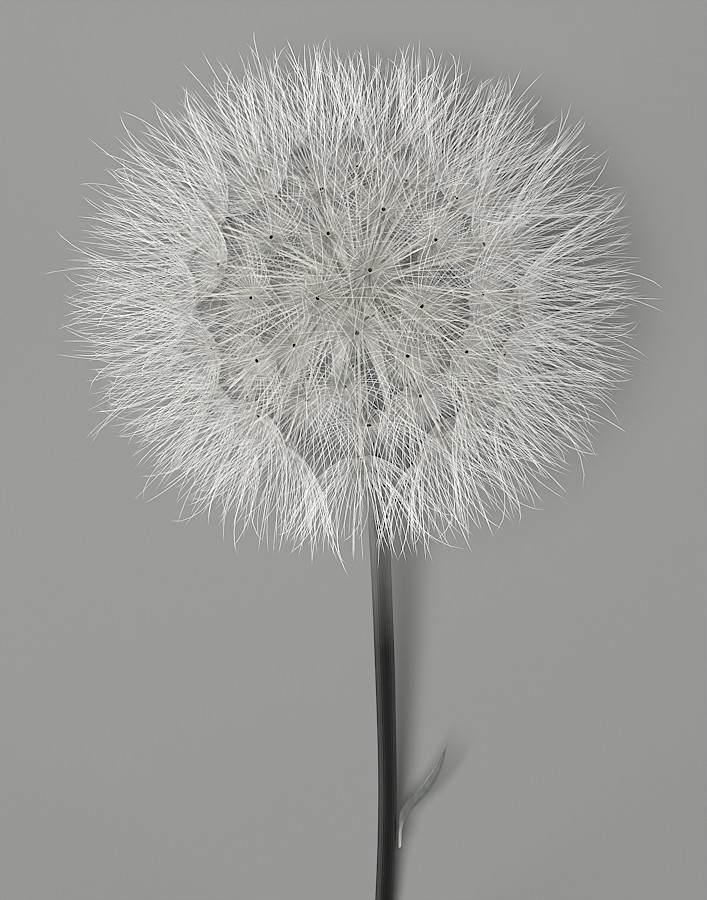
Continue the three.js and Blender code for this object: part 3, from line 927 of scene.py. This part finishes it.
def bract_skin(involucre, index, draw):
    """One bent-back bract, keeled, tapering to a point."""
    around = (index + 0.5) / involucre.bracts * math.tau
    out = direction(math.pi / 2, around)
    stops = [(2.2, -4.1), (4.8, -4.5), (7.6, -7.2), (10, -11), (12, -15.5)]  # mm: from the axis, and height
    rows = 46
    route = smooth_route([out * r + (0, 0, h) for r, h in stops], rows)
    sideways = np.cross(UP, out)
    t = np.linspace(0, 1, rows)
    sway = draw.normal(0, 0.3)  # mm at the tip
    wave = 0.07 * np.sin(9 * t + draw.uniform(0, 6))
    route = route + sideways * (sway * t**2 + wave)[:, None]
    twist = draw.normal(0, 0.35) * t
    lifted = np.cross(sideways, unit(np.gradient(route, axis=0)))
    across = sideways * np.cos(twist)[:, None] + lifted * np.sin(twist)[:, None]
    width = involucre.bract_width * np.clip(0.08 + 0.92 * np.sqrt(np.maximum(1 - t**2.2, 0)), 0, 1)
    thickness = involucre.bract_thickness * (1 - 0.6 * t)
    return blade_skin(route, across, width, thickness, fold=0.3, rib=0.55)


def collar_skin(involucre, stem):
    """Fleshy collar that carries the receptacle, with low flutes that run on into the bracts."""
    neck, wide = stem.top_width, involucre.collar_width
    bottom, top = -involucre.collar_bottom, -involucre.collar_top
    stops = [
        (neck * 0.42, bottom), (neck * 0.53, bottom + 0.12), (neck * 0.62, bottom + 0.8),
        (wide * 0.4, -4.6), (wide * 0.49, -3.7), (wide * 0.5, -3.1), (wide * 0.48, -2.5),
        (wide * 0.44, top), (wide * 0.2, top),
    ]
    profile = smooth_route([(r, 0, h) for r, h in stops], 40)
    radius, height = profile[:, 0, None], profile[:, 2, None]
    turn = turns(96)
    wave = np.cos(2 * involucre.bracts * turn)
    bract_feet, fade = -4.2, 1.6  # mm: the flutes are deepest at the first and fade out over the second
    flutes = 1 + 0.035 * wave * np.exp(-(((height - bract_feet) / fade) ** 2))
    grid = (radius * flutes)[..., None] * outward(turn) + height[..., None] * UP
    return sheet_skin(grid, {"edge": 0.3 + 0.2 * wave, "along": 0})


def stem_skin(place, involucre, stem):
    """Long stem, ribbed finely, thicker at its neck, with a pithy cut end."""
    top, foot = stem_ends(place, involucre, stem)
    down = np.linspace(0, 1, 120)
    heights = top + (foot - top) * down
    radius = stem.width / 2 + (stem.top_width - stem.width) / 2 * np.exp(-4 * down)
    radius = radius + 0.03 * np.sin(down * 23) * np.sin(down * 7.1 + 1)  # mm, as it swells and thins
    turn = turns(104)
    ribs = 1 + 0.014 * np.cos(stem.ribs * turn) + 0.008 * np.cos(5 * turn + 0.7)  # fine ribs, five low ridges
    centre = np.stack((stem_sway(heights, foot), 0 * heights, heights), -1)
    grid = centre[:, None] + (radius[:, None] * ribs)[..., None] * outward(turn)

    def cap(at, sunk, shares, inward):
        """Rings of a cut face: a rounded rim, then a flat or sunken middle."""
        middle = centre[at]
        return [middle + (grid[at] - middle) * s + (0, 0, inward * d) for s, d in zip(shares, sunk)]

    upper = cap(0, (0.3, 0.12, 0.02), (0.35, 0.8, 0.965), -1)
    lower = cap(-1, (0.02, 0.1, 0.22, 0.85, 0.9), (0.97, 0.88, 0.56, 0.44, 0.15), 1)
    rows = np.concatenate((np.array(upper), grid, np.array(lower)))
    along = np.concatenate(([1] * len(upper), 1 - down, [0] * len(lower)))
    return sheet_skin(rows[::-1], {"along": along[::-1][:, None]})


def leaf_skin(leaf):
    """The one small leaf, which hugs the stem at its foot and swings out to a point."""
    # mm: x and height
    stops = [(7.6, -107.8), (7.85, -103.4), (9.0, -99.4), (11.7, -95.3), (14.0, -90.4), (15.5, -84.5)]
    last, rows = len(stops) - 1, 64
    route = smooth_route([(x, -leaf.lift * (i / last) ** 2, z) for i, (x, z) in enumerate(stops)], rows)
    t = np.linspace(0, 1, rows)
    turned = eased(0.16, 0.44, t)[:, None]
    across = (1 - turned) * np.array([0, 1, 0]) + turned * np.array([1, 0, 0.4])
    width = leaf.width * (0.9 * np.sin(math.pi * t**1.15) ** 0.9 + 0.24 * (1 - t) + 0.02)
    thickness = leaf.thickness * (1.25 - 0.9 * t)
    return blade_skin(route, across, width, thickness, fold=(0.6 - 0.5 * t)[:, None], rib=0.45)


# ---- picture


FLOOR_HALF = 6.0  # metres
SENSOR_HEIGHT = 36  # mm
WORLD_STRENGTH = 0.03
CRISPNESS = 0.3
# a soft box overhead, a little to the left, and a long low one on each side for the rims, these two with a
# grid that keeps their light off the floor nearby: place and size in metres, watts, and spread in degrees
SOFT_BOXES = {
    "key_softbox": ((-0.2, 0.16, 1.25), (0.35, 0.35), 21, 180),
    "left_softbox": ((-1.3, -0.22, 0.17), (0.8, 0.16), 2.4, 60),
    "right_softbox": ((1.3, 0.1, 0.17), (0.8, 0.16), 2.2, 60),
}


def sharpened(scene):
    """A light sharpening of the picture, as for a print, so that single hairs stand out."""
    scene.use_nodes = True
    tree = scene.node_tree
    tree.nodes.clear()
    image = add_node(tree, "CompositorNodeRLayers").outputs["Image"]
    kind = {"filter_type": "SHARPEN_DIAMOND"}
    crisp = add_node(tree, "CompositorNodeFilter", kind, {"Fac": CRISPNESS}, {"Image": image})
    add_node(tree, "CompositorNodeComposite", links={"Image": crisp.outputs["Image"]})


def aimed_camera(hub, studio):
    """A camera that looks down on the plant, with the head high in the picture."""
    data = bpy.data.cameras.new("camera")
    data.sensor_fit = "VERTICAL"
    data.sensor_height = SENSOR_HEIGHT
    data.lens = studio.lens
    data.clip_start, data.clip_end = 0.02, 30  # metres
    camera = placed("camera", data)
    over = Vector((0, math.sin(studio.tilt), math.cos(studio.tilt)))
    image_up = Vector((0, math.cos(studio.tilt), -math.sin(studio.tilt)))
    eye = hub + over * studio.distance * MM
    target = hub - image_up * studio.drop * MM - Vector((studio.side * MM, 0, 0))
    forward = (target - eye).normalized()
    right = forward.cross(Vector((0, 1, 0))).normalized()
    turn = Matrix((right, right.cross(forward), -forward)).transposed()
    camera.matrix_world = Matrix.Translation(eye) @ turn.to_4x4()
    return camera


# ---- operators


class SEEDHEAD_OT_stage(Operator):
    """Adds the pale floor, the soft studio lights and the camera that looks down on the plant"""

    bl_idname = "seedhead.stage"
    bl_label = "Studio stage"

    def execute(self, context):
        colours, studio, place = settings_of(context, "studio", "place")
        scene = context.scene

        mesh = bpy.data.meshes.new("floor")
        corners = [(x * FLOOR_HALF, y * FLOOR_HALF, 0) for x, y in ((-1, -1), (1, -1), (1, 1), (-1, 1))]
        mesh.from_pydata(corners, [], [range(4)])
        mesh.materials.append(floor_finish(colours))
        floor = placed("floor", mesh)

        hub = Vector((place.hub_x, place.hub_y, place.hub_height)) * MM
        scene.camera = aimed_camera(hub, studio)
        for name, (at, size, watts, spread) in SOFT_BOXES.items():
            light = bpy.data.lights.new(name, "AREA")
            light.shape = "RECTANGLE"
            light.size, light.size_y = size
            light.energy = watts
            light.spread = math.radians(spread)
            box = placed(name, light)
            box.location = at
            box.rotation_euler = (hub - Vector(at)).to_track_quat("-Z", "Y").to_euler()

        scene.world = bpy.data.worlds.new("studio")
        scene.world.use_nodes = True
        background = scene.world.node_tree.nodes["Background"]
        background.inputs["Color"].default_value = WHITE
        background.inputs["Strength"].default_value = WORLD_STRENGTH
        scene.view_settings.view_transform = "Standard"
        sharpened(scene)
        return {"FINISHED"}


class SEEDHEAD_OT_receptacle(Operator):
    """Adds the pitted dome that bears the seeds"""

    bl_idname = "seedhead.receptacle"
    bl_label = "Receptacle"

    def execute(self, context):
        colours, head, place = settings_of(context, "head", "place")
        skins = lay([receptacle_skin(head, seed_places(head))], place)
        piece("receptacle", skins, receptacle_finish(colours), "seed_head")
        return {"FINISHED"}


class SEEDHEAD_OT_achenes(Operator):
    """Adds the ribbed fruits with their beaks, and the disc at the top of each beak"""

    bl_idname = "seedhead.achenes"
    bl_label = "Achenes and discs"

    def execute(self, context):
        colours, head, place = settings_of(context, "head", "place")
        seeds = seed_places(head)
        fruits = lay([achene_skin(seeds, head, np.random.default_rng(ACHENE_CHANCE))], place)
        piece("achenes", fruits, achene_finish(colours), "seed_head")
        discs = lay([disc_skin(seed, head) for seed in seeds], place)
        piece("pappus_discs", discs, disc_finish(colours), "seed_head")
        return {"FINISHED"}


class SEEDHEAD_OT_pappi(Operator):
    """Adds the pappi: bristles, the felt of fine hairs on each dome, side hairs and long plume hairs"""

    bl_idname = "seedhead.pappi"
    bl_label = "Pappi"

    def execute(self, context):
        keys = ("head", "pappus", "place", "involucre", "stem")
        colours, head, pappus, place, involucre, stem = settings_of(context, *keys)
        foot = stem_ends(place, involucre, stem)[1]
        clearance = stem.top_width / 2 + 0.25  # mm from the stem's middle
        material = silky_hair_finish(colours)
        profile = bell_profile(pappus)
        seeds = seed_places(head)
        draw = np.random.default_rng(PAPPUS_CHANCE)
        skins = []
        for seed in seeds:
            bell = Bell(seed, profile, draw)
            bristles = bristles_of(bell, pappus, draw)
            hairs = {
                "bristle": bell.at(bristles.turn, bristles.run, bristles.lift) + bristles.offset,
                "felt": felt_paths(bell, pappus, draw),
                "barb": barb_paths(bell, pappus, bristles, draw),
                "plume": plume_paths(bell, pappus, draw),
            }
            for key, paths in hairs.items():
                kind = HAIRS[key]
                radii = taper(getattr(pappus, f"{key}_width"), kind.points, *kind.taper)
                if key == "bristle":
                    radii = bristles.radii
                paths = laid_down(clear_of_stem(paths, foot, clearance), place)
                strips = draw.integers(*kind.shades, len(paths))
                skins.append(strand_skin(pressed(paths, draw), radii, HAIR_SIDES, strips))
        per_piece = len(HAIRS) * math.ceil(len(seeds) / pappus.pieces)
        for i in range(0, len(skins), per_piece):
            name = f"pappi_{i // per_piece + 1:02d}"
            piece(name, skins[i : i + per_piece], material, "seed_head")
        return {"FINISHED"}


class SEEDHEAD_OT_involucre(Operator):
    """Adds the collar and the bent-back bracts"""

    bl_idname = "seedhead.involucre"
    bl_label = "Involucre"

    def execute(self, context):
        colours, involucre, stem, place = settings_of(context, "involucre", "stem", "place")
        draw = np.random.default_rng(BRACT_CHANCE)
        bracts = [bract_skin(involucre, i, draw) for i in range(involucre.bracts)]
        skins = lay([collar_skin(involucre, stem), *bracts], place)
        piece("involucre_bracts", skins, bract_finish(colours), "involucre")
        return {"FINISHED"}


class SEEDHEAD_OT_stem(Operator):
    """Adds the finely ribbed stem with its cut end"""

    bl_idname = "seedhead.stem"
    bl_label = "Stem"

    def execute(self, context):
        colours, place, involucre, stem = settings_of(context, "place", "involucre", "stem")
        skins = lay([stem_skin(place, involucre, stem)], place)
        heights = skins[0].corners[:, 2]
        heights[:] = np.maximum(heights, 0)  # the cut end's rim lies flat on the ground
        piece("ribbed_stem", skins, stem_finish(colours), "stem")
        return {"FINISHED"}


class SEEDHEAD_OT_leaf(Operator):
    """Adds the small leaf low on the stem"""

    bl_idname = "seedhead.leaf"
    bl_label = "Leaf"

    def execute(self, context):
        colours, leaf, place = settings_of(context, "leaf", "place")
        piece("small_leaf", lay([leaf_skin(leaf)], place), leaf_finish(colours), "leaf")
        return {"FINISHED"}


OPERATORS = (
    SEEDHEAD_OT_stage,
    SEEDHEAD_OT_receptacle,
    SEEDHEAD_OT_achenes,
    SEEDHEAD_OT_pappi,
    SEEDHEAD_OT_involucre,
    SEEDHEAD_OT_stem,
    SEEDHEAD_OT_leaf,
)


class SEEDHEAD_PT_panel(Panel):
    """Lists the pieces of the seed head and their sizes"""

    bl_label = "Seed head"
    bl_space_type = "VIEW_3D"
    bl_region_type = "UI"
    bl_category = "Seed head"

    def draw(self, context):
        for operator in OPERATORS:
            self.layout.operator(operator.bl_idname)
        for key, group in GROUPS.items():
            box = self.layout.box()
            box.label(text=key.capitalize())
            for name in group.__annotations__:
                box.prop(getattr(context.scene.seed_head, key), name)


CLASSES = (*GROUPS.values(), SeedHeadSettings, *OPERATORS, SEEDHEAD_PT_panel)


def register():
    for one in CLASSES:
        bpy.utils.register_class(one)
    bpy.types.Scene.seed_head = PointerProperty(type=SeedHeadSettings)


def unregister():
    del bpy.types.Scene.seed_head
    for one in reversed(CLASSES):
        bpy.utils.unregister_class(one)


def main():
    register()
    for operator in OPERATORS:
        group, name = operator.bl_idname.split(".")
        getattr(getattr(bpy.ops, group), name)()


if __name__ == "__main__":
    main()
